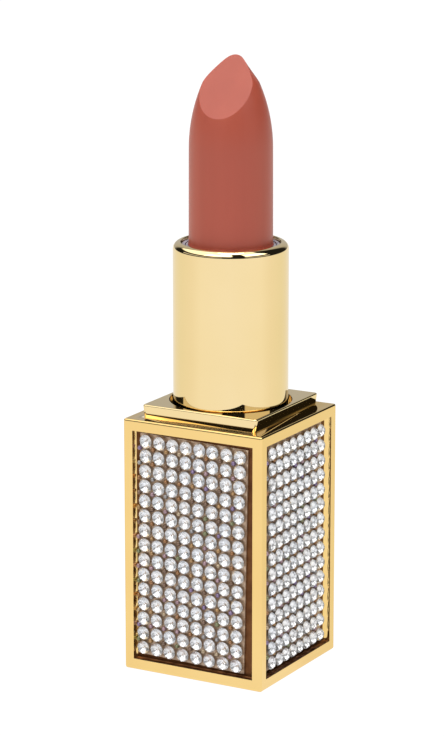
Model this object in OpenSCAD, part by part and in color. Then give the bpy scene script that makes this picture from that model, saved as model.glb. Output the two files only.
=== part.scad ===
/* [Case] */
// Width and depth of the square base case
case_w = 22.6; // [22.6:0.1:24]
// Height of the base case
case_h = 37.5; // [37.4:0.1:40]
// Rounding of the case's upright edges
case_edge_r = 0.4; // [0.2:0.1:0.6]
// Chamfer of the case's top and bottom edges
case_rim_cut = 0.2; // [0.1:0.05:0.3]
// Width of the frame bar beside each recessed window
side_bar = 1.5; // [1.3:0.1:1.5]
// Height of the frame bar above and below each window
end_bar = 1.65; // [1.5:0.05:1.7]
// Depth of each window's recess below the frame's face
recess_depth = 1.2; // [1.1:0.05:1.25]
// Thickness of the wall behind each recess
recess_wall = 1.3; // [1.2:0.05:1.35]

/* [Crystals] */
// Crystals across one panel
crystal_columns = 8; // [6:1:8]
// Crystals up one panel
crystal_rows = 15; // [10:1:15]
// Distance between crystal centres across the panel
column_pitch = 2.2; // [2.15:0.05:2.2]
// Distance between crystal centres across the right panel, which is packed closer
right_pitch = 2.1; // [2.1:0.05:2.2]
// Distance between crystal centres up the panel
row_pitch = 2.21; // [2.15:0.01:2.23]
// Diameter of a crystal at its girdle
crystal_d = 2.0; // [1.8:0.05:2.04]
// Height of a crystal above its backing
crystal_h = 1.05; // [0.9:0.05:1.1]
// Diameter of the small beads between the crystals
bead_d = 0.8; // [0.6:0.05:0.85]
// Thickness of the sheet that carries the crystals
backing_t = 0.25; // [0.2:0.05:0.3]
// Tilt of the front panel's crystal sheet in its recess, degrees
front_tilt = -1.1; // [-1.5:0.1:0]
// Tilt of the right panel's crystal sheet in its recess, degrees
right_tilt = 0.3; // [0:0.1:1]
// Sideways shift of the front panel's crystal sheet in its recess
front_shift = -0.5; // [-0.5:0.1:0]

/* [Collar] */
// Width and depth of the square shoulder collar
collar_w = 18.6; // [18.4:0.1:19]
// Height of the collar above the case
collar_h = 1.85; // [1.6:0.05:2.2]
// Rounding of the collar's upright edges
collar_edge_r = 0.65; // [0.3:0.05:0.8]
// Chamfer of the collar's top edge
collar_rim_cut = 0.2; // [0.1:0.05:0.3]
// Diameter of the round well that the sleeve turns in
well_d = 17.7; // [17.2:0.1:17.8]

/* [Mechanism] */
// Outer diameter of the gold sleeve
sleeve_d = 16.6; // [16.5:0.1:16.8]
// Height of the sleeve's mouth above the ground
sleeve_top = 62.45; // [62:0.05:63]
// Rounding of the sleeve's mouth
sleeve_rim_r = 1.05; // [0.8:0.05:1.1]
// Travel of the cup from fully down to fully up
travel = 28; // [24:0.5:28]
// Turns of the sleeve that make the whole travel
turns = 1.5; // [1.25:0.25:2]
// Diameter of the two lugs on the cup
lug_d = 1.3; // [1.1:0.05:1.3]

/* [Bullet] */
// Diameter of the bullet where it leaves the cup
bullet_d = 12.04; // [11.9:0.02:12.1]
// Height at which the bullet starts to taper to its tip
taper_z = 75.8; // [74:0.1:76]
// Radius of the arc that shapes the tip
tip_arc_r = 23.4; // [22:0.1:25]
// Height at which the slanted facet crosses the bullet's axis
facet_z = 86.7; // [85:0.1:87]
// Angle of the facet's normal above the horizontal, degrees
facet_rise = 42.3; // [38:0.1:50]
// Direction that the facet faces, in degrees from the front towards the right
facet_turn = 8; // [0:1:30]

/* [Hidden] */

$fn = 64;
slack = 0.05;                  // clearance of a glued or snapped fit, each side
run_gap = 0.1;                 // radial clearance of a turning or sliding fit
past = 1;                      // how far a cutter runs past the face that it cuts

// case
half_w = case_w / 2;
window_w = case_w - 2 * side_bar;
window_h = case_h - 2 * end_bar;
recess_floor = half_w - recess_depth;
cavity_w = 2 * (recess_floor - recess_wall);
plate_t = 1.0;                 // bottom plate
plate_lift = 0.2;              // bottom plate above the ground
label_d = 14;
label_t = 0.12;

// crystals, measured outwards from the backing sheet's face
backing_face = recess_floor + backing_t;
girdle_low = 0.4;
girdle_high = 0.5;
foot_r = 0.6;
table_r = 0.55;
bead_centre = 0.15;            // a bead's centre above the backing
bead_row_max = window_h / 2 - bead_d / 2 - slack;
bead_column_max = window_w / 2 - bead_d / 2 - slack;
sheet_h = crystal_rows * row_pitch;

// collar, seated in a shallow step round the case's mouth
seat_depth = 0.6;
seat_w = collar_w + 2 * slack;
skirt_h = 4;
well_floor = case_h + 0.1;
collar_top = case_h + collar_h;

// mechanism radii, from the bullet outwards
cup_in_r = bullet_d / 2;
cup_r = cup_in_r + 0.43;
body_in_r = cup_r + run_gap;
body_r = body_in_r + 0.45;
cam_in_r = body_r + run_gap;
cam_r = sleeve_d / 2 - 0.4;
groove_r = cam_in_r + 0.5;
mouth_r = cam_in_r + 0.05;
bore_r = cam_r + 0.25;

// mechanism heights
cup_h = 12;
cup_top = sleeve_top - 0.55;
cup_low = cup_top - cup_h;
cup_floor = 1;
body_top = sleeve_top - 0.45;
lug_z = cup_low + 1.3;
lug_tip_r = groove_r - run_gap;
lug_root_r = cup_in_r + 0.2;
slot_w = lug_d + 0.2;
slot_low = lug_z - travel - lug_d / 2 - 0.5;
slot_high = lug_z + lug_d / 2 + 0.4;
flange_top = slot_low - 0.9;
flange_t = 0.8;
flange_r = cam_r + 0.05;
foot_h = 9;
foot_low = flange_top - flange_t - foot_h;
brake_t = 0.28;
cam_low = flange_top + 0.3;
cam_top = sleeve_top - sleeve_rim_r - 0.2;
shell_low = well_floor + 0.35;

// helical grooves
groove_run = 1.2;              // groove beyond the lug at each end of the travel
groove_half = 17;              // half the groove's width around the sleeve, degrees
groove_h = travel + 2 * groove_run;
groove_low = lug_z - travel - groove_run;
degrees_per_mm = 360 * turns / travel;
groove_steps = 60;

// core holder and ballast
holder_low = plate_lift + plate_t;
holder_top = case_h - skirt_h;
weight_d = 13;
weight_h = 7;
weight_low = holder_low + 0.1;

gold = [0.93, 0.80, 0.50];
dark_gold = [0.62, 0.46, 0.22];
clear = [0.93, 0.94, 0.97];
amber = [0.52, 0.33, 0.17];
white = [0.92, 0.91, 0.89];
black = [0.08, 0.08, 0.08];
steel = [0.60, 0.61, 0.63];
lilac_grey = [0.66, 0.62, 0.67];
rose = [0.69, 0.36, 0.29];

// A square with round corners, centred
module round_square(w, r) {
    square([w, w - 2 * r], center = true);
    square([w - 2 * r, w], center = true);
    for (x = [-1, 1], y = [-1, 1])
        translate([x * (w / 2 - r), y * (w / 2 - r)]) circle(r);
}

// An upright profile of width w from z = 0 to h, with its corners cut off by c
module upright_profile(w, h, c, cut_foot) {
    foot = cut_foot ? c : 0;
    polygon([
        [-w / 2 + foot, 0], [w / 2 - foot, 0], [w / 2, foot], [w / 2, h - c],
        [w / 2 - c, h], [-w / 2 + c, h], [-w / 2, h - c], [-w / 2, foot]
    ]);
}

// A square block with rounded upright edges and its rims broken by a small chamfer
module soft_block(w, h, edge_r, rim_cut, cut_foot = true) {
    intersection() {
        linear_extrude(h) round_square(w, edge_r);
        rotate([90, 0, 0]) linear_extrude(w + past, center = true)
            upright_profile(w, h, rim_cut, cut_foot);
        rotate([90, 0, 90]) linear_extrude(w + past, center = true)
            upright_profile(w, h, rim_cut, cut_foot);
    }
}

// Puts what is drawn on the front face onto side 0 front, 1 right, 2 back, 3 left
module on_side(side) {
    rotate([0, 0, 90 * side]) children();
}

// Local frame of a panel: X across it, Y up it, Z out of the case, from the given depth
module panel_frame(side, depth) {
    on_side(side) translate([0, -depth, case_h / 2]) rotate([90, 0, 0]) children();
}

module base_case() {
    color(gold) difference() {
        soft_block(case_w, case_h, case_edge_r, case_rim_cut);
        translate([0, 0, -past])
            linear_extrude(case_h + 2 * past) square(cavity_w, center = true);
        translate([0, 0, case_h - seat_depth])
            linear_extrude(seat_depth + past) square(seat_w, center = true);
        for (side = [0:3]) panel_frame(side, recess_floor)
            linear_extrude(recess_depth + past) square([window_w, window_h], center = true);
    }
}

module bottom_plate() {
    w = cavity_w - 2 * slack;
    color(black) translate([-w / 2, -w / 2, plate_lift]) cube([w, w, plate_t]);
}

module shade_label() {
    color(white) translate([0, 0, plate_lift - label_t]) cylinder(d = label_d, h = label_t);
}

module core_holder() {
    w = cavity_w - 2 * slack;
    color(white) difference() {
        translate([-w / 2, -w / 2, holder_low]) cube([w, w, holder_top - holder_low]);
        translate([0, 0, flange_top - flange_t]) cylinder(r = bore_r, h = holder_top);
        translate([0, 0, foot_low]) cylinder(r = body_r + slack, h = foot_h + past);
        translate([0, 0, holder_low - past]) cylinder(d = weight_d, h = weight_h + past + 0.2);
    }
}

module ballast_weight() {
    color(steel) translate([0, 0, weight_low]) cylinder(d = weight_d, h = weight_h);
}

module shoulder_collar() {
    skirt_w = cavity_w - 2 * slack;
    color(gold) difference() {
        union() {
            translate([0, 0, case_h - seat_depth])
                soft_block(collar_w, collar_h + seat_depth, collar_edge_r, collar_rim_cut, false);
            translate([-skirt_w / 2, -skirt_w / 2, holder_top])
                cube([skirt_w, skirt_w, skirt_h - seat_depth]);
        }
        translate([0, 0, well_floor]) cylinder(d = well_d, h = collar_h + past);
        translate([0, 0, holder_top - past]) cylinder(r = bore_r, h = skirt_h + collar_h);
    }
}

module inner_body() {
    color(lilac_grey) difference() {
        union() {
            translate([0, 0, foot_low]) cylinder(r = body_r, h = body_top - foot_low);
            translate([0, 0, flange_top - flange_t]) cylinder(r = flange_r, h = flange_t);
        }
        translate([0, 0, foot_low + 1.2]) cylinder(r = body_in_r, h = body_top);
        for (turn = [0, 180]) rotate([0, 0, turn])
            translate([0, -slot_w / 2, slot_low]) cube([cam_r, slot_w, slot_high - slot_low]);
    }
}

module brake_ring() {
    color(black) translate([0, 0, flange_top]) difference() {
        cylinder(r = flange_r - 0.1, h = brake_t);
        translate([0, 0, -past]) cylinder(r = body_r + slack, h = brake_t + 2 * past);
    }
}

function arc_points(r, from, to, steps) =
    [for (i = [0:steps]) let (a = from + (to - from) * i / steps) [r * cos(a), r * sin(a)]];

// Outline of one groove: a short arc band, from inside the bore to the groove's floor
module groove_outline() {
    polygon(concat(
        arc_points(groove_r, -groove_half, groove_half, 3),
        arc_points(cam_in_r - 0.3, groove_half, -groove_half, 1)
    ));
}

module cam_sleeve() {
    color(white) difference() {
        translate([0, 0, cam_low]) cylinder(r = cam_r, h = cam_top - cam_low);
        translate([0, 0, cam_low - past]) cylinder(r = cam_in_r, h = cam_top);
        for (turn = [0, 180])
            translate([0, 0, groove_low])
                rotate([0, 0, turn + degrees_per_mm * (travel + groove_run)])
                    linear_extrude(groove_h, twist = degrees_per_mm * groove_h,
                                   slices = groove_steps, segments = 8) groove_outline();
    }
}

module a_shell() {
    arc = [for (a = [0:10:90]) [
        sleeve_d / 2 - sleeve_rim_r * (1 - cos(a)), sleeve_top - sleeve_rim_r * (1 - sin(a))]];
    color(gold) rotate_extrude() difference() {
        union() {
            translate([mouth_r, shell_low])
                square([sleeve_d / 2 - mouth_r, sleeve_top - sleeve_rim_r - shell_low]);
            translate([mouth_r, shell_low])
                square([sleeve_d / 2 - sleeve_rim_r - mouth_r, sleeve_top - shell_low]);
            intersection() {
                translate([sleeve_d / 2 - sleeve_rim_r, sleeve_top - sleeve_rim_r])
                    circle(sleeve_rim_r);
                translate([mouth_r, shell_low]) square([sleeve_d, sleeve_top]);
            }
        }
        translate([0, shell_low - past]) square([cam_r, cam_top - shell_low + past]);
    }
}

module cup() {
    color(lilac_grey) {
        difference() {
            union() {
                translate([0, 0, cup_low]) cylinder(r = cup_r, h = cup_h);
                for (turn = [0, 180]) rotate([0, 0, turn])
                    translate([lug_root_r, 0, lug_z]) rotate([0, 90, 0])
                        cylinder(d = lug_d, h = lug_tip_r - lug_root_r);
            }
            translate([0, 0, cup_low + cup_floor]) cylinder(r = cup_in_r, h = cup_h);
        }
    }
}

// Half of the bullet's outline: a plain rod, then an arc that leans in to the tip
module bullet_outline() {
    tip_z = taper_z + sqrt(pow(tip_arc_r, 2) - pow(tip_arc_r - bullet_d / 2, 2));
    rod_low = cup_low + cup_floor;
    translate([0, rod_low]) square([bullet_d / 2, taper_z - rod_low]);
    intersection() {
        translate([bullet_d / 2 - tip_arc_r, taper_z]) circle(tip_arc_r, $fn = 360);
        translate([0, taper_z]) square([bullet_d / 2, tip_z - taper_z]);
    }
}

module bullet() {
    color(rose) difference() {
        rotate_extrude() bullet_outline();
        translate([0, 0, facet_z]) rotate([0, 0, facet_turn]) rotate([90 - facet_rise, 0, 0])
            translate([-bullet_d, -bullet_d, 0]) cube(2 * bullet_d);
    }
}

// The sheet that carries one panel's crystals, cut close round them
module backing(side, pitch, tilt = 0, shift = 0) {
    sheet_w = crystal_columns * pitch;
    color(dark_gold) panel_frame(side, recess_floor) translate([shift, 0, 0])
        rotate([0, 0, tilt]) translate([-sheet_w / 2, -sheet_h / 2, 0])
            cube([sheet_w, sheet_h, backing_t]);
}

// One crystal: a short foot that widens to the girdle, and a crown that narrows to the table
module crystal() {
    cylinder(r1 = foot_r, r2 = crystal_d / 2, h = girdle_low);
    translate([0, 0, girdle_low]) cylinder(d = crystal_d, h = girdle_high - girdle_low);
    translate([0, 0, girdle_high])
        cylinder(r1 = crystal_d / 2, r2 = table_r, h = crystal_h - girdle_high);
}

module crystals(side, pitch, tilt = 0, shift = 0) {
    color(clear) panel_frame(side, backing_face) translate([shift, 0, 0]) rotate([0, 0, tilt])
        for (column = [0:crystal_columns - 1], row = [0:crystal_rows - 1])
            translate([
                (column - (crystal_columns - 1) / 2) * pitch,
                (row - (crystal_rows - 1) / 2) * row_pitch, 0
            ]) crystal();
}

function held(value, limit) = min(limit, max(-limit, value));

// One bead: the part of a ball that stands above the backing
module bead() {
    intersection() {
        translate([0, 0, bead_centre]) sphere(d = bead_d);
        translate([-bead_d, -bead_d, 0]) cube(2 * bead_d);
    }
}

// Beads where four crystals meet, and in the notches of the panel's left edge
module beads(side, pitch, tilt = 0, shift = 0) {
    color(amber) panel_frame(side, backing_face)
        for (column = [0:crystal_columns - 1], row = [1:crystal_rows - 1]) {
            x = (column - crystal_columns / 2) * pitch;
            y = (row - crystal_rows / 2) * row_pitch;
            translate([
                held(x * cos(tilt) - y * sin(tilt) + shift, bead_column_max),
                held(x * sin(tilt) + y * cos(tilt), bead_row_max), 0
            ]) bead();
        }
}

base_case();
bottom_plate();
shade_label();
core_holder();
ballast_weight();
shoulder_collar();
inner_body();
brake_ring();
cam_sleeve();
a_shell();
cup();
bullet();
backing(0, column_pitch, front_tilt, front_shift);  // backing_front
backing(1, right_pitch, right_tilt);  // backing_right
backing(2, column_pitch);  // backing_back
backing(3, column_pitch);  // backing_left
crystals(0, column_pitch, front_tilt, front_shift);  // crystals_front
crystals(1, right_pitch, right_tilt);  // crystals_right
crystals(2, column_pitch);  // crystals_back
crystals(3, column_pitch);  // crystals_left
beads(0, column_pitch, front_tilt, front_shift);  // beads_front
beads(1, right_pitch, right_tilt);  // beads_right
beads(2, column_pitch);  // beads_back
beads(3, column_pitch);  // beads_left
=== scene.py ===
import math
import random

import bpy
from mathutils import Matrix, Vector


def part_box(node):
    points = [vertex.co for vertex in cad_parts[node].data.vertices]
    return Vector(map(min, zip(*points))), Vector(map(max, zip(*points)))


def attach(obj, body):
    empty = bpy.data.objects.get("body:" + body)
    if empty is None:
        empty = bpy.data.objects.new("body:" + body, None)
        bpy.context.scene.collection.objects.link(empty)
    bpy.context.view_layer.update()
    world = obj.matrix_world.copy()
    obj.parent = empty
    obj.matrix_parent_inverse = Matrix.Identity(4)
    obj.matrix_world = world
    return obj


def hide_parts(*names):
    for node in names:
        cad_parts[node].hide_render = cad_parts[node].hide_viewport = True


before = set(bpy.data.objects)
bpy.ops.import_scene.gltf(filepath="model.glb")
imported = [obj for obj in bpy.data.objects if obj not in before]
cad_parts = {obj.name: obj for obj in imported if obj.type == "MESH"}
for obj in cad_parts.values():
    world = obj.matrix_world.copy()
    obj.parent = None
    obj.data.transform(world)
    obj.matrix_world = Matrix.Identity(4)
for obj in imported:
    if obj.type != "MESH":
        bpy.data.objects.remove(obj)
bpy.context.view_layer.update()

MM = 0.001
SIDES = ("front", "right", "back", "left")

# Camera: where it looks from, in the row frame
VIEW_AZIMUTH = math.radians(29.44)      # from the front panel towards the right one
VIEW_ELEVATION = math.radians(13.53)
VIEW_DISTANCE = 439.5 * MM
VIEW_LENS = 149.45                      # mm, on a 36 mm sensor
VIEW_AIM = Vector((-1.27, -0.32, 43.77)) * MM

# Crystal panels
COLUMNS = 8
ROWS = 15
GEM_R = 1.0 * MM
BEAD_R = 0.4 * MM
ROW_PITCH = 2.21 * MM
COLUMN_PITCH = {"front": 2.2 * MM, "right": 2.1 * MM, "back": 2.2 * MM, "left": 2.2 * MM}
SHEET_TILT = {"front": -1.1, "right": 0.3, "back": 0.0, "left": 0.0}     # degrees
SHEET_SHIFT = {"front": -0.5 * MM, "right": 0.0, "back": 0.0, "left": 0.0}

# Case frame
SIDE_BAR = 1.5 * MM
END_BAR = 1.65 * MM
FIT_SLACK = 0.05 * MM                   # clearance of a glued or snapped fit in the CAD
SEAT_DEPTH = 0.6 * MM                   # the collar stands this deep in the case's mouth
WELL_LIFT = 0.1 * MM                    # the well's floor above the case
EDGE_BEVEL = 0.4 * MM                   # full rounding; the shares below are parts of it
UPRIGHT_SHARE, TOP_SHARE, FOOT_SHARE = 1.0, 0.6, 0.9
MOUTH_SHARE, RECESS_SHARE = 0.12, 0.2


# ---------------------------------------------------------------- mesh helpers

def new_object(name, verts, faces, smooth=True):
    """A mesh object in the scene from plain lists."""
    mesh = bpy.data.meshes.new(name)
    mesh.from_pydata(verts, [], faces)
    mesh.validate()
    mesh.update()
    if smooth:
        mesh.shade_smooth()
    obj = bpy.data.objects.new(name, mesh)
    bpy.context.scene.collection.objects.link(obj)
    return obj


def ring_faces(rings, count, closed_stack=True):
    """Quads that join each ring of count points to the next, and the last to the first."""
    faces = []
    last = rings if closed_stack else rings - 1
    for i in range(last):
        a, b = i * count, ((i + 1) % rings) * count
        for j in range(count):
            k = (j + 1) % count
            faces.append((a + j, a + k, b + k, b + j))
    return faces


def lathe(name, profile, segments=192):
    """Turns a closed outline of (radius, height) points about Z."""
    verts = []
    for radius, height in profile:
        for j in range(segments):
            angle = 2 * math.pi * j / segments
            verts.append((radius * math.cos(angle), radius * math.sin(angle), height))
    return new_object(name, verts, ring_faces(len(profile), segments))


def arc(centre, radius, start, end, steps):
    """Points on an arc in the (radius, height) plane, angles in degrees."""
    points = []
    for i in range(steps + 1):
        angle = math.radians(start + (end - start) * i / steps)
        points.append((centre[0] + radius * math.cos(angle), centre[1] + radius * math.sin(angle)))
    return points


def finish_piece(obj, body, slot, material, *nodes):
    """Gives a piece its material and body, and hides the CAD nodes that it stands for. The slot
    argument is not used.
    """
    for one in material if isinstance(material, (list, tuple)) else [material]:
        obj.data.materials.append(one)
    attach(obj, body)
    if nodes:
        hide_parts(*nodes)
    return obj


# ---------------------------------------------------------------- material helpers

def add_node(tree, kind, inputs, settings):
    """A shader node with its settings, and its inputs linked or filled in."""
    made = tree.nodes.new("ShaderNode" + kind)
    for key, value in settings.items():
        setattr(made, key, value)
    for key, value in (inputs or {}).items():
        if isinstance(value, bpy.types.NodeSocket):
            tree.links.new(value, made.inputs[key])
        else:
            made.inputs[key].default_value = value
    return made


class Graph:
    """A material's node tree, with its Principled shader, in short calls."""

    def __init__(self, name):
        self.material = bpy.data.materials.new(name)
        self.material.use_nodes = True
        self.tree = self.material.node_tree
        self.shader = next(n for n in self.tree.nodes if n.type == "BSDF_PRINCIPLED")
        self.coords = self.tree.nodes.new("ShaderNodeTexCoord").outputs["Object"]

    def set(self, **values):
        for name, value in values.items():
            self.shader.inputs[name.replace("_", " ")].default_value = value

    def link(self, output, socket):
        self.tree.links.new(output, self.shader.inputs[socket])

    def node(self, kind, inputs=None, **settings):
        return add_node(self.tree, kind, inputs, settings)

    def stretched(self, scale):
        return self.node("Mapping", {"Vector": self.coords, "Scale": scale}).outputs["Vector"]

    def noise(self, scale, detail=2.0, rough=0.5, vector=None):
        inputs = {"Vector": vector or self.coords, "Scale": scale, "Detail": detail,
                  "Roughness": rough}
        return self.node("TexNoise", inputs).outputs["Fac"]

    def span(self, value, low, high, from_low=0.0, from_high=1.0):
        inputs = {"Value": value, "From Min": from_low, "From Max": from_high,
                  "To Min": low, "To Max": high}
        return self.node("MapRange", inputs).outputs["Result"]

    def ramp(self, value, stops, mode="LINEAR"):
        made = self.node("ValToRGB", {"Fac": value})
        made.color_ramp.interpolation = mode
        elements = made.color_ramp.elements
        while len(elements) < len(stops):
            elements.new(0.5)
        for element, (place, colour) in zip(elements, stops):
            element.position = place
            element.color = (*colour, 1.0)
        return made.outputs["Color"]

    def bump(self, height, distance, strength=1.0, under=None):
        inputs = {"Height": height, "Distance": distance, "Strength": strength}
        if under:
            inputs["Normal"] = under
        return self.node("Bump", inputs).outputs["Normal"]


def gold_material(name, tint, deep, wave):
    """Mirror-polished metallising: faint tone drift, fine haze and a little moulding waviness."""
    g = Graph(name)
    g.set(Metallic=1.0)
    g.link(g.ramp(g.noise(90.0, 2.0), [(0.3, deep), (0.7, tint)]), "Base Color")
    g.link(g.span(g.noise(700.0, 4.0, 0.6), 0.015, 0.05), "Roughness")
    slow = g.bump(g.noise(160.0, 1.0), wave * MM)
    g.link(g.bump(g.noise(2600.0, 3.0), 0.00006 * MM, 0.5, slow), "Normal")
    return g.material


def lipstick_material():
    """Satin wax: soft scatter, drawn-out mould streaks and a fine powdery grain."""
    g = Graph("lipstick_wax")
    g.set(Subsurface_Weight=0.12, Subsurface_Scale=0.6 * MM, Subsurface_Radius=(1.0, 0.35, 0.25))
    streaks = g.noise(1.0, 3.0, 0.5, g.stretched((260.0, 260.0, 14.0)))
    rose = [(0.3, (0.40, 0.074, 0.042)), (0.7, (0.44, 0.085, 0.048))]
    g.link(g.ramp(streaks, rose), "Base Color")
    g.link(g.span(g.noise(1800.0, 4.0), 0.34, 0.44), "Roughness")
    slow = g.bump(streaks, 0.012 * MM, 0.6)
    g.link(g.bump(g.noise(5200.0, 3.0), 0.0025 * MM, 0.5, slow), "Normal")
    return g.material


def plastic_material(name, low, high, rough, grain=0.002, coat=0.0):
    """Moulded plastic: slight tone drift and a fine eroded grain."""
    g = Graph(name)
    g.set(Coat_Weight=coat)
    g.link(g.ramp(g.noise(240.0, 3.0), [(0.3, low), (0.7, high)]), "Base Color")
    g.link(g.span(g.noise(1500.0, 4.0), rough - 0.05, rough + 0.05), "Roughness")
    g.link(g.bump(g.noise(4200.0, 4.0), grain * MM, 0.6), "Normal")
    return g.material


def paper_material():
    g = Graph("label_paper")
    fibres = g.noise(1.0, 5.0, 0.6, g.stretched((2600.0, 900.0, 900.0)))
    g.link(g.ramp(fibres, [(0.3, (0.76, 0.75, 0.72)), (0.7, (0.86, 0.85, 0.82))]), "Base Color")
    g.link(g.span(fibres, 0.55, 0.7), "Roughness")
    g.link(g.bump(fibres, 0.006 * MM, 0.5), "Normal")
    return g.material


def steel_material():
    g = Graph("turned_steel")
    g.set(Metallic=1.0)
    rings = g.noise(1.0, 3.0, 0.6, g.stretched((200.0, 200.0, 6000.0)))
    g.link(g.ramp(rings, [(0.3, (0.42, 0.43, 0.45)), (0.7, (0.60, 0.61, 0.63))]), "Base Color")
    g.link(g.span(rings, 0.25, 0.4), "Roughness")
    g.link(g.bump(rings, 0.004 * MM, 0.6), "Normal")
    return g.material


def recess_shade_material():
    """Painted shade: a dark brown, slightly metallic surface that darkens the recess round the
    edges of each crystal sheet, where the gap lies in shadow.
    """
    g = Graph("recess_painted_shade")
    g.set(Metallic=0.85)
    brown = [(0.3, (0.10, 0.034, 0.010)), (0.7, (0.19, 0.075, 0.024))]
    g.link(g.ramp(g.noise(500.0, 4.0), brown), "Base Color")
    g.link(g.span(g.noise(1200.0, 3.0), 0.25, 0.5), "Roughness")
    g.link(g.bump(g.noise(2200.0, 3.0), 0.01 * MM, 0.6), "Normal")
    return g.material


def glass_material():
    """Clear cut stone, with a very slight change of tint from one stone to the next."""
    g = Graph("crystal_glass")
    g.set(Transmission_Weight=1.0, IOR=1.56, Roughness=0.0)
    island = g.node("NewGeometry").outputs["Random Per Island"]
    g.link(g.ramp(island, [(0.0, (1.0, 0.985, 0.97)), (0.5, (1.0, 1.0, 1.0)),
                           (1.0, (0.96, 0.98, 1.0))]), "Base Color")
    return g.material


def foil_material():
    """The mirror foil behind each stone, a little uneven."""
    g = Graph("crystal_foil")
    g.set(Metallic=1.0)
    g.link(g.ramp(g.noise(900.0, 3.0), [(0.3, (0.86, 0.86, 0.87)), (0.7, (0.97, 0.97, 0.97))]),
           "Base Color")
    g.link(g.span(g.noise(1500.0, 3.0), 0.2, 0.34), "Roughness")
    g.link(g.bump(g.noise(1400.0, 2.0), 0.004 * MM, 0.5), "Normal")
    return g.material


def bead_material():
    """Small resin beads in mixed amber, mauve, grey and olive."""
    g = Graph("bead_resin")
    island = g.node("NewGeometry").outputs["Random Per Island"]
    palette = [
        (0.0, (0.36, 0.17, 0.06)), (0.16, (0.22, 0.13, 0.08)), (0.30, (0.42, 0.27, 0.30)),
        (0.44, (0.45, 0.26, 0.10)), (0.58, (0.36, 0.35, 0.34)), (0.70, (0.24, 0.25, 0.12)),
        (0.80, (0.50, 0.38, 0.24)), (0.90, (0.28, 0.20, 0.36)),
    ]
    g.link(g.ramp(island, palette, "CONSTANT"), "Base Color")
    g.link(g.span(g.noise(1500.0, 2.0), 0.08, 0.2), "Roughness")
    g.set(Coat_Weight=0.8, Coat_Roughness=0.05, Metallic=0.35)
    return g.material


def backing_material():
    """Metallised sheet with a fine woven emboss between the stones."""
    g = Graph("crystal_backing")
    g.set(Metallic=0.5)
    cells = g.node("TexVoronoi", {"Vector": g.coords, "Scale": 2600.0}).outputs["Distance"]
    g.link(g.ramp(cells, [(0.1, (0.70, 0.53, 0.38)), (0.6, (0.45, 0.31, 0.21))]), "Base Color")
    g.link(g.span(cells, 0.2, 0.45), "Roughness")
    g.link(g.bump(cells, 0.05 * MM, 0.8), "Normal")
    return g.material


# ---------------------------------------------------------------- pieces

def case_shell(materials):
    """The square case with its four recessed windows; each recess floor and the foot of its wall
    are painted dark brown as shade.
    """
    low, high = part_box("base_case")
    half, bottom, top = high.x, low.z, high.z
    window = half - SIDE_BAR
    window_low, window_high = bottom + END_BAR, top - END_BAR
    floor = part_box("backing_back")[0].y
    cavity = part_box("core_holder")[1].x + FIT_SLACK
    seat_overlap, same_spot = 0.15 * MM, 1e-7
    seat_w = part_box("shoulder_collar")[1].x - seat_overlap
    seat_floor = top - SEAT_DEPTH
    verts, weights, faces, shaded_recess_faces = [], {}, [], []

    def corner(u, z, depth, side):
        """The index of a corner point, added once and shared by the faces that meet there."""
        spot = Matrix.Rotation(math.radians(90 * side), 3, "Z") @ Vector((u, -depth, z))
        for index, known in enumerate(verts):
            if (known - spot).length < same_spot:
                return index
        verts.append(spot)
        return len(verts) - 1

    def rect(side, u, z_low, z_high, depth):
        spots = ((-u, z_low), (u, z_low), (u, z_high), (-u, z_high))
        return [corner(x, z, depth, side) for x, z in spots]

    def weigh(a, b, weight):
        weights[frozenset((a, b))] = weight

    for side in range(4):
        outer = rect(side, half, bottom, top, half)
        mouth = rect(side, window, window_low, window_high, half)
        deep = rect(side, window, window_low, window_high, floor)
        inner = rect(side, cavity, bottom, seat_floor, cavity)
        seat = rect(side, seat_w, seat_floor, top, seat_w)
        for i in range(4):
            j = (i + 1) % 4
            faces.append((outer[i], outer[j], mouth[j], mouth[i]))
            if i == 0:                   # the foot of the recess
                shaded_recess_faces.append(len(faces))
            faces.append((mouth[i], mouth[j], deep[j], deep[i]))
            weigh(mouth[i], mouth[j], MOUTH_SHARE)
            weigh(mouth[i], deep[i], RECESS_SHARE)
        shaded_recess_faces.append(len(faces))
        faces.append(tuple(deep))
        faces.append((outer[3], outer[2], seat[2], seat[3]))
        faces.append((seat[3], seat[2], seat[1], seat[0]))
        faces.append((seat[0], seat[1], inner[2], inner[3]))
        faces.append((outer[1], outer[0], inner[0], inner[1]))
        faces.append((inner[3], inner[2], inner[1], inner[0]))
        weigh(outer[0], outer[3], UPRIGHT_SHARE)
        weigh(outer[2], outer[3], TOP_SHARE)
        weigh(outer[0], outer[1], FOOT_SHARE)
    obj = new_object("case_shell", [tuple(v) for v in verts], faces, smooth=False)
    weight_layer = obj.data.attributes.new("bevel_weight_edge", "FLOAT", "EDGE")
    for edge in obj.data.edges:
        weight_layer.data[edge.index].value = weights.get(frozenset(edge.vertices), 0.0)
    # the recess floors and the feet of the recess walls take the dark brown painted shade (material
    # 1)
    for index in shaded_recess_faces:
        obj.data.polygons[index].material_index = 1
    obj.data.shade_smooth()
    bevel = obj.modifiers.new("rounded_edges", "BEVEL")
    bevel.width = EDGE_BEVEL
    bevel.segments = 5
    bevel.limit_method = "WEIGHT"
    bevel.harden_normals = True
    return finish_piece(obj, "base", "polished_gold", materials, "base_case")


def outline_angles(per_quarter=96, crowding=1.6):
    """Directions round a square, closest together at its four corners."""
    angles = []
    for quarter in range(4):
        for i in range(per_quarter):
            share = 2 * i / per_quarter - 1
            swing = math.copysign(abs(share) ** crowding, share)
            angles.append(math.radians(90 * quarter + 45 + 45 * swing))
    return angles


def square_reach(angle, half, radius):
    """Distance from the centre to a square with round corners, in one direction."""
    turn = angle % (math.pi / 2)
    x, y = math.cos(turn), math.sin(turn)
    flat = half / max(x, y)
    if min(x, y) * flat <= half - radius:
        return flat
    centre = half - radius
    along = centre * (x + y)
    return along + math.sqrt(along ** 2 - 2 * centre ** 2 + radius ** 2)


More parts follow.
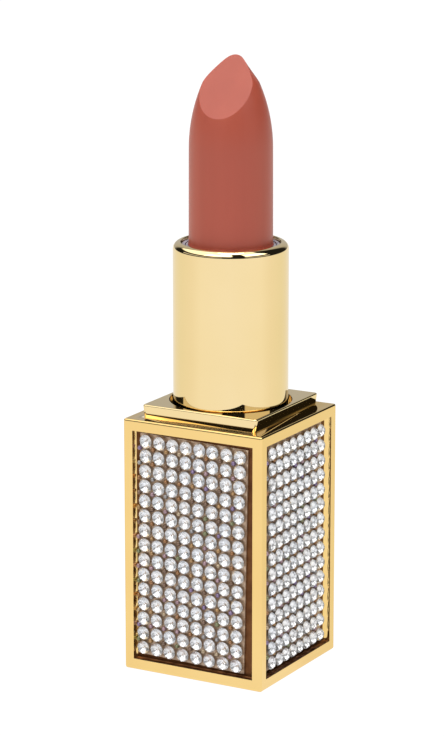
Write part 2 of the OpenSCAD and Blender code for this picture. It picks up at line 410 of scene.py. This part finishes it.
def collar_step(material):
    """The square step round the sleeve, with its round well."""
    low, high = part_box("shoulder_collar")
    case_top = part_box("base_case")[1].z
    half, top = high.x, high.z
    edge_r, rim_r = 0.45 * MM, 0.22 * MM
    well_r, lip = 8.85 * MM, 0.1 * MM
    skirt_edge_r, least_r = 0.3 * MM, 0.05 * MM
    rim_steps, lip_steps = 6, 3
    bore_gap, flat_step = 0.25 * MM, 0.02 * MM
    bore_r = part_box("cam_sleeve")[1].x + bore_gap
    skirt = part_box("core_holder")[1].x
    waist_x, waist_y = 0.2 * MM, 0.03 * MM   # how far the walls' feet are drawn in
    angles = outline_angles()
    rings = []

    def ring(reach, z, lean=0.0):
        x_share, y_share = 1 - lean * waist_x / half, 1 - lean * waist_y / half
        rings.append([(reach(a) * math.cos(a) * x_share, reach(a) * math.sin(a) * y_share, z)
                      for a in angles])

    def square_ring(inset, z, radius=edge_r, lean=0.0):
        ring(lambda a: square_reach(a, half - inset, max(radius - inset, least_r)), z, lean)

    def round_ring(radius, z):
        ring(lambda a: radius, z)

    seat_floor = case_top - SEAT_DEPTH
    square_ring(half - skirt, low.z, skirt_edge_r)
    square_ring(half - skirt, seat_floor, skirt_edge_r)
    square_ring(0, seat_floor, lean=1)
    for share in (0.0, 0.02, 0.25, 0.5, 0.75, 0.98, 1.0):    # close at the ends, so they stay crisp
        square_ring(0, case_top + (top - rim_r - case_top) * share, lean=1 - share)
    for i in range(1, rim_steps + 1):
        angle = math.radians(90 * i / rim_steps)
        square_ring(rim_r * (1 - math.cos(angle)), top - rim_r * (1 - math.sin(angle)))
    square_ring(rim_r + 1.5 * flat_step, top)
    round_ring(well_r + lip + flat_step, top)
    for i in range(lip_steps + 1):
        angle = math.radians(90 * i / lip_steps)
        round_ring(well_r + lip * (1 - math.sin(angle)), top - lip * (1 - math.cos(angle)))
    round_ring(well_r, case_top + WELL_LIFT)
    round_ring(bore_r, case_top + WELL_LIFT)
    round_ring(bore_r, low.z)
    verts = [point for points in rings for point in points]
    obj = new_object("collar_step", verts, ring_faces(len(rings), len(angles)))
    mark_sharp(obj, 40)
    return finish_piece(obj, "base", "polished_gold", material, "shoulder_collar")


def mark_sharp(obj, degrees):
    """Keeps the edges steeper than this crisp in the smooth shading."""
    obj.data.set_sharp_from_angle(angle=math.radians(degrees))


def sleeve_shell(material):
    """The round gold sleeve with its rolled mouth."""
    low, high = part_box("a_shell")
    outer, bottom, top = high.x, low.z, high.z
    cam_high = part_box("cam_sleeve")[1]
    bore, bore_top = cam_high.x, cam_high.z
    mouth = 7.15 * MM                    # radius of the opening
    rim_r, inner_r, foot_r = 1.05 * MM, 0.12 * MM, 0.15 * MM
    step = 0.05 * MM                     # keeps the inner corner under the mouth crisp
    profile = arc((outer - foot_r, bottom + foot_r), foot_r, -90, 0, 4)
    profile += [(outer, bottom + 2 * foot_r), (outer, top - rim_r - 0.1 * MM)]
    profile += arc((outer - rim_r, top - rim_r), rim_r, 0, 90, 14)
    profile += arc((mouth + inner_r, top - inner_r), inner_r, 90, 180, 4)
    profile += [(mouth, bore_top + step), (mouth, bore_top), (mouth + step, bore_top)]
    profile += [(bore, bore_top), (bore, bottom)]
    obj = lathe("sleeve_shell", profile)
    mark_sharp(obj, 50)
    return finish_piece(obj, "sleeve", "polished_gold", material, "a_shell")


def rim_ring(name, node, body, inner, outer, height, ridges, material):
    """A fine ridged ring on top of a thin tube, as its moulded rim shows in the sleeve's mouth."""
    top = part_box(node)[1].z
    bottom = top - 0.3 * MM
    crest_from, crest_to, valley = 0.25, 0.6, 0.9     # places across one ridge
    profile = [(inner, bottom), (outer, bottom), (outer, top)]
    width = (outer - inner) / ridges
    for i in range(ridges):
        start = outer - i * width
        profile += [(start - crest_from * width, top + height),
                    (start - crest_to * width, top + height), (start - valley * width, top)]
    profile.append((inner, top))
    obj = lathe(name, profile, 160)
    return finish_piece(obj, body, "grey_plastic", material)


def facet_plane():
    """A point on the bullet's slanted facet and its normal, from the widest tilted face."""
    least_rise, most_rise = 0.3, 0.9
    found = {}
    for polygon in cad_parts["bullet"].data.polygons:
        n = polygon.normal
        if least_rise < n.z < most_rise:
            key = (round(n.x, 3), round(n.y, 3), round(n.z, 3))
            entry = found.setdefault(key, [0.0, Vector(polygon.center), Vector(n)])
            entry[0] += polygon.area
    centre, normal = max(found.values(), key=lambda entry: entry[0])[1:]
    return centre, normal.normalized()


def bullet_stick(material):
    """The moulded stick: a rod that leans in to a tip, sliced by a slanted facet."""
    low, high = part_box("bullet")
    cup_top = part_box("cup")[1].z
    radius = high.x
    shoulder = radius - 0.05 * MM        # radius where the taper starts
    tuck = 0.02 * MM                     # clearance inside the cup
    taper = cup_top + 13.9 * MM
    arc_r = 23.4 * MM
    foot_flare, flare_reach = 0.16 * MM, 0.22 * MM
    widest = radius + 0.1 * MM
    edge_soft = 0.03 * MM                # rounding of the facet's edge
    pinch_low = 85.2 * MM                # above this the flanks draw in to a pointed crest
    pinch_share, pinch_power = 0.38, 1.2
    spot, normal = facet_plane()
    facing = math.atan2(normal.y, normal.x)
    heart = Vector((0, 0, spot.z + (normal.x * spot.x + normal.y * spot.y) / normal.z))
    segments, rod_steps, facet_steps, edge_steps = 256, 90, 10, 4
    foot_rings, foot_step, halvings = 12, 0.09 * MM, 48

    def girth(z):
        """The stick's radius at a height."""
        if z <= cup_top:
            return radius - tuck
        if z <= taper:
            lean = radius + (shoulder - radius) * (z - cup_top) / (taper - cup_top)
            return lean + foot_flare * math.exp((cup_top - z) / flare_reach)
        return shoulder - (arc_r - math.sqrt(arc_r ** 2 - (z - taper) ** 2))

    def surface(angle, z):
        """A point on the stick, with its flanks drawn in near the crest."""
        rise = max(0.0, min(1.0, (z - pinch_low) / (high.z - pinch_low)))
        flank = math.sin(angle - facing) ** 2
        r = min(girth(z), widest) * (1 - pinch_share * flank * rise ** pinch_power)
        return Vector((r * math.cos(angle), r * math.sin(angle), z))

    def crossing(angle):
        """The height at which the stick's surface meets the facet in this direction."""
        under, over = taper, taper + 0.7 * arc_r    # the second is well past the tip
        for _ in range(halvings):
            middle = (under + over) / 2
            if (surface(angle, middle) - heart).dot(normal) > 0:
                over = middle
            else:
                under = middle
        return under

    lower = [low.z, cup_top - tuck]
    lower += [cup_top + i * foot_step for i in range(foot_rings)]
    columns = []
    for j in range(segments):
        angle = 2 * math.pi * j / segments
        top = crossing(angle)
        edge = surface(angle, top)
        below = surface(angle, top - edge_soft)
        inward = (heart - edge).normalized()
        beside = edge + inward * edge_soft
        column = [surface(angle, z) for z in lower]
        start = lower[-1]
        for i in range(1, rod_steps):
            column.append(surface(angle, start + (below.z - start) * i / rod_steps))
        for i in range(edge_steps + 1):  # round the edge between the two surfaces
            t = i / edge_steps
            column.append(below * (1 - t) ** 2 + edge * 2 * t * (1 - t) + beside * t ** 2)
        for i in range(1, facet_steps):
            column.append(beside.lerp(heart, i / facet_steps))
        columns.append(column)
    rings = len(columns[0])
    verts = [tuple(columns[j][i]) for i in range(rings) for j in range(segments)]
    faces = ring_faces(rings, segments, closed_stack=False)
    last = (rings - 1) * segments
    verts += [tuple(heart), (0.0, 0.0, low.z)]
    faces += [(last + j, last + (j + 1) % segments, len(verts) - 2) for j in range(segments)]
    faces += [((j + 1) % segments, j, len(verts) - 1) for j in range(segments)]
    obj = new_object("bullet_stick", verts, faces)
    return finish_piece(obj, "carrier", "lipstick", material, "bullet")


# Cut of one stone, as shares of its girdle radius and of its height
TABLE_R, TABLE_Z = 0.56, 1.0
STAR_R, STAR_Z = 0.80, 0.78
GIRDLE_HIGH, GIRDLE_LOW = 0.47, 0.41
CULET_R, CULET_Z = 0.16, 0.0
GLASS, FOIL = 0, 1
GEM_HEIGHT = 0.95                       # of the CAD height, so that tipped stones stay within it
GEM_DRIFT = 0.02                        # spread of the stones' places, mm
GEM_TIP, GEM_TIP_MAX = 1.6, 3           # spread of their tip and its limit, degrees
GEM_SMALLEST = 0.97
BEAD_DRIFT = 0.015                      # spread of the beads' places, mm
BEAD_SMALLEST = 0.86
BEAD_LIFT = 0.15 * MM                   # a bead's centre above the sheet


def stone(height, radius):
    """One cut stone: table, star, kite and girdle facets over a foiled pavilion."""
    verts, faces = [], []

    def ring(count, r, z, phase=0.0):
        start = len(verts)
        for i in range(count):
            angle = 2 * math.pi * (i + phase) / count
            verts.append(Vector((r * radius * math.cos(angle), r * radius * math.sin(angle),
                                 z * height)))
        return [start + i for i in range(count)]

    table = ring(8, TABLE_R, TABLE_Z, 0.5)
    star = ring(8, STAR_R, STAR_Z)
    girdle = ring(16, 1.0, GIRDLE_HIGH)
    under = ring(16, 1.0, GIRDLE_LOW)
    culet = ring(8, CULET_R, CULET_Z)
    faces.append((tuple(table), GLASS))
    for i in range(8):
        j = (i + 1) % 8
        faces.append(((table[i - 1], star[i], table[i]), GLASS))
        faces.append(((table[i], star[i], girdle[2 * i + 1], star[j]), GLASS))
        faces.append(((star[i], girdle[2 * i], girdle[2 * i + 1]), GLASS))
        faces.append(((star[i], girdle[2 * i - 1], girdle[2 * i]), GLASS))
        faces.append(((culet[i], under[2 * i + 1], under[2 * i]), FOIL))
        faces.append(((culet[i], under[2 * i], under[2 * i - 1]), FOIL))
        faces.append(((culet[i], culet[j], under[2 * i + 1]), FOIL))
    for i in range(16):
        j = (i + 1) % 16
        faces.append(((girdle[i], under[i], under[j], girdle[j]), GLASS))
    faces.append((tuple(reversed(culet)), FOIL))
    return verts, faces


def panel_matrix(side):
    """Local panel frame, X across, Y up and Z outwards from the backing, to the row frame."""
    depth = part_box("backing_back")[1].y
    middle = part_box("base_case")[1].z / 2
    return (Matrix.Rotation(math.radians(90 * SIDES.index(side)), 4, "Z")
            @ Matrix.Translation((0, -depth, middle))
            @ Matrix.Rotation(math.radians(90), 4, "X"))


def sheet_matrix(side):
    """The panel's crystal sheet, shifted and tilted in its panel frame."""
    return (Matrix.Translation((SHEET_SHIFT[side], 0, 0))
            @ Matrix.Rotation(math.radians(SHEET_TILT[side]), 4, "Z"))


def held(value, limit):
    """The value, kept within the limit on both sides of zero."""
    return max(-limit, min(limit, value))


def gems(side, materials):
    """One panel of cut stones, each turned and tipped a little at random."""
    rng = random.Random("gems " + side)
    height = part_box("crystals_back")[1].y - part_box("backing_back")[1].y
    frame_matrix = panel_matrix(side) @ sheet_matrix(side)
    cut, cut_faces = stone(height * GEM_HEIGHT, GEM_R)
    verts, faces, kinds = [], [], []
    for column in range(COLUMNS):
        for row in range(ROWS):
            x = (column - (COLUMNS - 1) / 2) * COLUMN_PITCH[side] + rng.gauss(0, GEM_DRIFT) * MM
            y = (row - (ROWS - 1) / 2) * ROW_PITCH + rng.gauss(0, GEM_DRIFT) * MM
            place = Matrix.Translation((x, y, 0))
            tip = Matrix.Identity(4)
            for axis in "XY":
                lean = held(rng.gauss(0, GEM_TIP), GEM_TIP_MAX)
                tip = tip @ Matrix.Rotation(math.radians(lean), 4, axis)
            spin = Matrix.Rotation(rng.uniform(0, 2 * math.pi), 4, "Z")
            size = Matrix.Scale(rng.uniform(GEM_SMALLEST, 1.0), 4)
            whole = frame_matrix @ place @ tip @ spin @ size
            start = len(verts)
            verts += [tuple(whole @ v) for v in cut]
            for face, kind in cut_faces:
                faces.append(tuple(start + i for i in face))
                kinds.append(kind)
    obj = new_object("gems_" + side, verts, faces, smooth=False)
    for polygon, kind in zip(obj.data.polygons, kinds):
        polygon.material_index = kind
    return finish_piece(obj, "base", "crystal", materials, "crystals_" + side)


def beads(side, material):
    """Small beads where four stones meet, and in the notches of the panel's left edge."""
    rng = random.Random("beads " + side)
    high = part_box("base_case")[1]
    limit_x = high.x - SIDE_BAR - BEAD_R - FIT_SLACK
    limit_y = high.z / 2 - END_BAR - BEAD_R - FIT_SLACK
    frame_matrix = panel_matrix(side)
    sheet = sheet_matrix(side)
    rings, segments = 6, 14
    low_lift, high_lift = -22, 84        # degrees of the ball that the rings span
    verts, faces = [], []
    for column in range(COLUMNS):
        for row in range(1, ROWS):
            centre = sheet @ Vector(((column - COLUMNS / 2) * COLUMN_PITCH[side],
                                     (row - ROWS / 2) * ROW_PITCH, 0))
            x = held(centre.x + rng.gauss(0, BEAD_DRIFT) * MM, limit_x)
            y = held(centre.y + rng.gauss(0, BEAD_DRIFT) * MM, limit_y)
            size = BEAD_R * rng.uniform(BEAD_SMALLEST, 1.0)
            start = len(verts)
            for i in range(rings):
                lift = math.radians(low_lift + (high_lift - low_lift) * i / (rings - 1))
                for j in range(segments):
                    angle = 2 * math.pi * j / segments
                    spot = Vector((x + size * math.cos(lift) * math.cos(angle),
                                   y + size * math.cos(lift) * math.sin(angle),
                                   max(0.0, BEAD_LIFT + size * math.sin(lift))))
                    verts.append(tuple(frame_matrix @ spot))
            top = len(verts)
            verts.append(tuple(frame_matrix @ Vector((x, y, BEAD_LIFT + size))))
            dome = ring_faces(rings, segments, closed_stack=False)
            faces += [tuple(start + k for k in face) for face in dome]
            last = start + (rings - 1) * segments
            faces += [(last + j, last + (j + 1) % segments, top) for j in range(segments)]
            faces.append(tuple(start + j for j in reversed(range(segments))))
    obj = new_object("beads_fill_" + side, verts, faces)
    mark_sharp(obj, 60)
    return finish_piece(obj, "base", "bead", material, "beads_" + side)


# ---------------------------------------------------------------- studio

class WorldGraph:
    """The studio that surrounds the object: dark walls with soft bright panels."""

    def __init__(self):
        world = bpy.data.worlds.new("studio")
        world.use_nodes = True
        bpy.context.scene.world = world
        self.tree = world.node_tree
        self.tree.nodes.clear()
        direction = self.node("TexCoord").outputs["Generated"]
        split = self.node("SeparateXYZ", {"Vector": direction})
        self.height = self.math("ARCSINE", split.outputs["Z"])
        turned = self.node("VectorRotate", {"Vector": direction, "Angle": -VIEW_AZIMUTH},
                           rotation_type="Z_AXIS")
        flat = self.node("SeparateXYZ", {"Vector": turned.outputs["Vector"]})
        # 0 towards the camera, positive to the camera's right
        self.bearing = self.math("ARCTAN2", flat.outputs["X"],
                                 self.math("MULTIPLY", flat.outputs["Y"], -1.0))

    def node(self, kind, inputs=None, **settings):
        return add_node(self.tree, kind, inputs, settings)

    def math(self, operation, a, b=0.0):
        return self.node("Math", {0: a, 1: b}, operation=operation).outputs[0]

    def edge(self, value, place, soft):
        inputs = {"Value": value, "From Min": math.radians(place - soft),
                  "From Max": math.radians(place + soft), "To Min": 0.0, "To Max": 1.0}
        return self.node("MapRange", inputs, interpolation_type="SMOOTHSTEP").outputs["Result"]

    def window(self, value, low, high, soft):
        rise = self.edge(value, low, soft)
        fall = self.math("SUBTRACT", 1.0, self.edge(value, high, soft))
        return self.math("MULTIPLY", rise, fall)

    def panel(self, bearings, heights, light, soft):
        across = self.window(self.bearing, *bearings, soft)
        up = self.window(self.height, *heights, soft)
        return self.math("MULTIPLY", self.math("MULTIPLY", across, up), light)


# Bright panels of the studio: bearings and heights in degrees, strength and edge softness
PANELS = (
    ((-142, -62), (30, 66), 2.0, 3.0),
    ((-62, 2), (30, 62), 3.6, 3.0),
    ((31, 84), (30, 62), 3.6, 3.0),
    ((-200, -146), (0, 60), 0.62, 8.0),
    ((146, 200), (0, 60), 0.62, 8.0),
    ((-110, -18), (10.5, 17), 1.0, 1.5),
    ((28, 84), (10.5, 17), 1.0, 1.5),
    ((-400, 400), (65, 100), 2.0, 3.0),
)
AMBIENT = 0.02


def studio():
    w = WorldGraph()
    total = w.window(w.height, -91, 1.0, 1.0)        # the white below the horizon
    for panel in PANELS:
        total = w.math("ADD", total, w.panel(*panel))
    total = w.math("ADD", total, AMBIENT)
    seen = w.node("LightPath").outputs["Is Camera Ray"]
    shown = w.node("Mix", {"Factor": seen, "A": total, "B": 1.0}, data_type="FLOAT")
    back = w.node("Background", {"Strength": shown.outputs["Result"]})
    out = w.node("OutputWorld")
    w.tree.links.new(back.outputs["Background"], out.inputs["Surface"])


def floor():
    """A wide white table top. Its glow to the metal falls off gently to the sides and behind."""
    half, steps = 6.0, 12                # metres and squares
    verts, faces = [], []
    for i in range(steps + 1):
        for j in range(steps + 1):
            verts.append((half * (2 * i / steps - 1), half * (2 * j / steps - 1), 0.0))
    for i in range(steps):
        for j in range(steps):
            a = i * (steps + 1) + j
            faces.append((a, a + steps + 1, a + steps + 2, a + 1))
    obj = new_object("table_top", verts, faces)
    g = Graph("table_white")
    turned = g.node("VectorRotate", {"Vector": g.coords, "Angle": -VIEW_AZIMUTH},
                    rotation_type="Z_AXIS")
    flat = g.node("SeparateXYZ", {"Vector": turned.outputs["Vector"]})
    behind = g.node("Math", {0: flat.outputs["Y"], 1: -1.0}, operation="MULTIPLY")
    bearing = g.node("Math", {0: flat.outputs["X"], 1: behind.outputs[0]}, operation="ARCTAN2")
    turn = g.node("Math", {0: bearing.outputs[0]}, operation="ABSOLUTE")
    share = g.span(turn.outputs[0], 0.0, 1.0, 0.0, math.pi)
    glow = g.ramp(share, [(0.0, (0.98, 0.99, 1.04)), (0.34, (0.975, 0.975, 0.98)),
                          (0.46, (0.93, 0.91, 0.87)), (0.65, (0.88, 0.87, 0.78)),
                          (1.0, (0.85, 0.84, 0.84))])
    seen = g.node("LightPath").outputs["Is Camera Ray"]
    shown = g.node("Mix", {"Factor": seen, 6: glow, 7: (1.0, 1.0, 1.0, 1.0)}, data_type="RGBA")
    g.link(shown.outputs[2], "Emission Color")
    g.set(Base_Color=(0.05, 0.05, 0.05, 1), Roughness=0.8, Emission_Strength=1.0)
    g.shader.inputs["Specular IOR Level"].default_value = 0.0
    obj.data.materials.append(g.material)


def softbox(name, bearing, height, distance, size, power):
    """A square area light that looks at the middle of the object."""
    light = bpy.data.lights.new(name, "AREA")
    light.shape = "SQUARE"
    light.size = size
    light.energy = power
    obj = bpy.data.objects.new(name, light)
    a = VIEW_AZIMUTH + math.radians(bearing)
    e = math.radians(height)
    back = Vector((math.sin(a) * math.cos(e), -math.cos(a) * math.cos(e), math.sin(e)))
    obj.location = VIEW_AIM + back * distance
    obj.rotation_mode = "QUATERNION"
    obj.rotation_quaternion = (-back).to_track_quat("-Z", "Y")
    bpy.context.scene.collection.objects.link(obj)


def camera():
    data = bpy.data.cameras.new("view")
    data.sensor_width = 36.0
    data.lens = VIEW_LENS
    data.clip_start, data.clip_end = 0.01, 30.0
    obj = bpy.data.objects.new("view", data)
    back = Vector((math.sin(VIEW_AZIMUTH) * math.cos(VIEW_ELEVATION),
                   -math.cos(VIEW_AZIMUTH) * math.cos(VIEW_ELEVATION),
                   math.sin(VIEW_ELEVATION)))
    obj.location = VIEW_AIM + back * VIEW_DISTANCE
    obj.rotation_mode = "QUATERNION"
    obj.rotation_quaternion = (-back).to_track_quat("-Z", "Y")
    bpy.context.scene.collection.objects.link(obj)
    bpy.context.scene.camera = obj


# ---------------------------------------------------------------- assembly

def dress(node, material):
    """A carried-over CAD node keeps its shape and gets its procedural material."""
    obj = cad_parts[node]
    obj.data.materials.clear()
    obj.data.materials.append(material)


camera()
studio()
floor()
softbox("overhead", bearing=0, height=88, distance=0.8, size=0.35, power=1.6)

case_gold = gold_material("case_gold", (0.90, 0.640, 0.255), (0.88, 0.610, 0.235), 0.0012)
sleeve_gold = gold_material("sleeve_gold", (0.89, 0.700, 0.375), (0.87, 0.680, 0.350), 0.0006)
grey_plastic = plastic_material("grey_plastic", (0.36, 0.33, 0.39), (0.46, 0.43, 0.49), 0.3)
white_plastic = plastic_material("white_plastic", (0.74, 0.73, 0.70), (0.80, 0.79, 0.76), 0.4)
black_plastic = plastic_material("black_plastic", (0.02, 0.02, 0.02), (0.032, 0.032, 0.032), 0.5)

# the second material paints dark brown shade into the recesses round the crystal sheets
case_shell((case_gold, recess_shade_material()))
collar_step(sleeve_gold)
sleeve_shell(sleeve_gold)
bullet_stick(lipstick_material())
rim_ring("holder_rim", "inner_body", "base", inner=6.57 * MM, outer=6.98 * MM,
         height=0.05 * MM, ridges=3, material=grey_plastic)
rim_ring("cup_rim", "cup", "carrier", inner=6.20 * MM, outer=6.44 * MM,
         height=0.04 * MM, ridges=2, material=grey_plastic)

gem_materials = (glass_material(), foil_material())
bead_resin = bead_material()
backing_sheet = backing_material()
for side in SIDES:
    gems(side, gem_materials)
    beads(side, bead_resin)
    dress("backing_" + side, backing_sheet)

dress("inner_body", grey_plastic)
dress("cup", grey_plastic)
dress("cam_sleeve", white_plastic)
dress("core_holder", white_plastic)
dress("brake_ring", black_plastic)
dress("bottom_plate", black_plastic)
dress("shade_label", paper_material())
dress("ballast_weight", steel_material())

bpy.context.scene.view_settings.view_transform = "Standard"
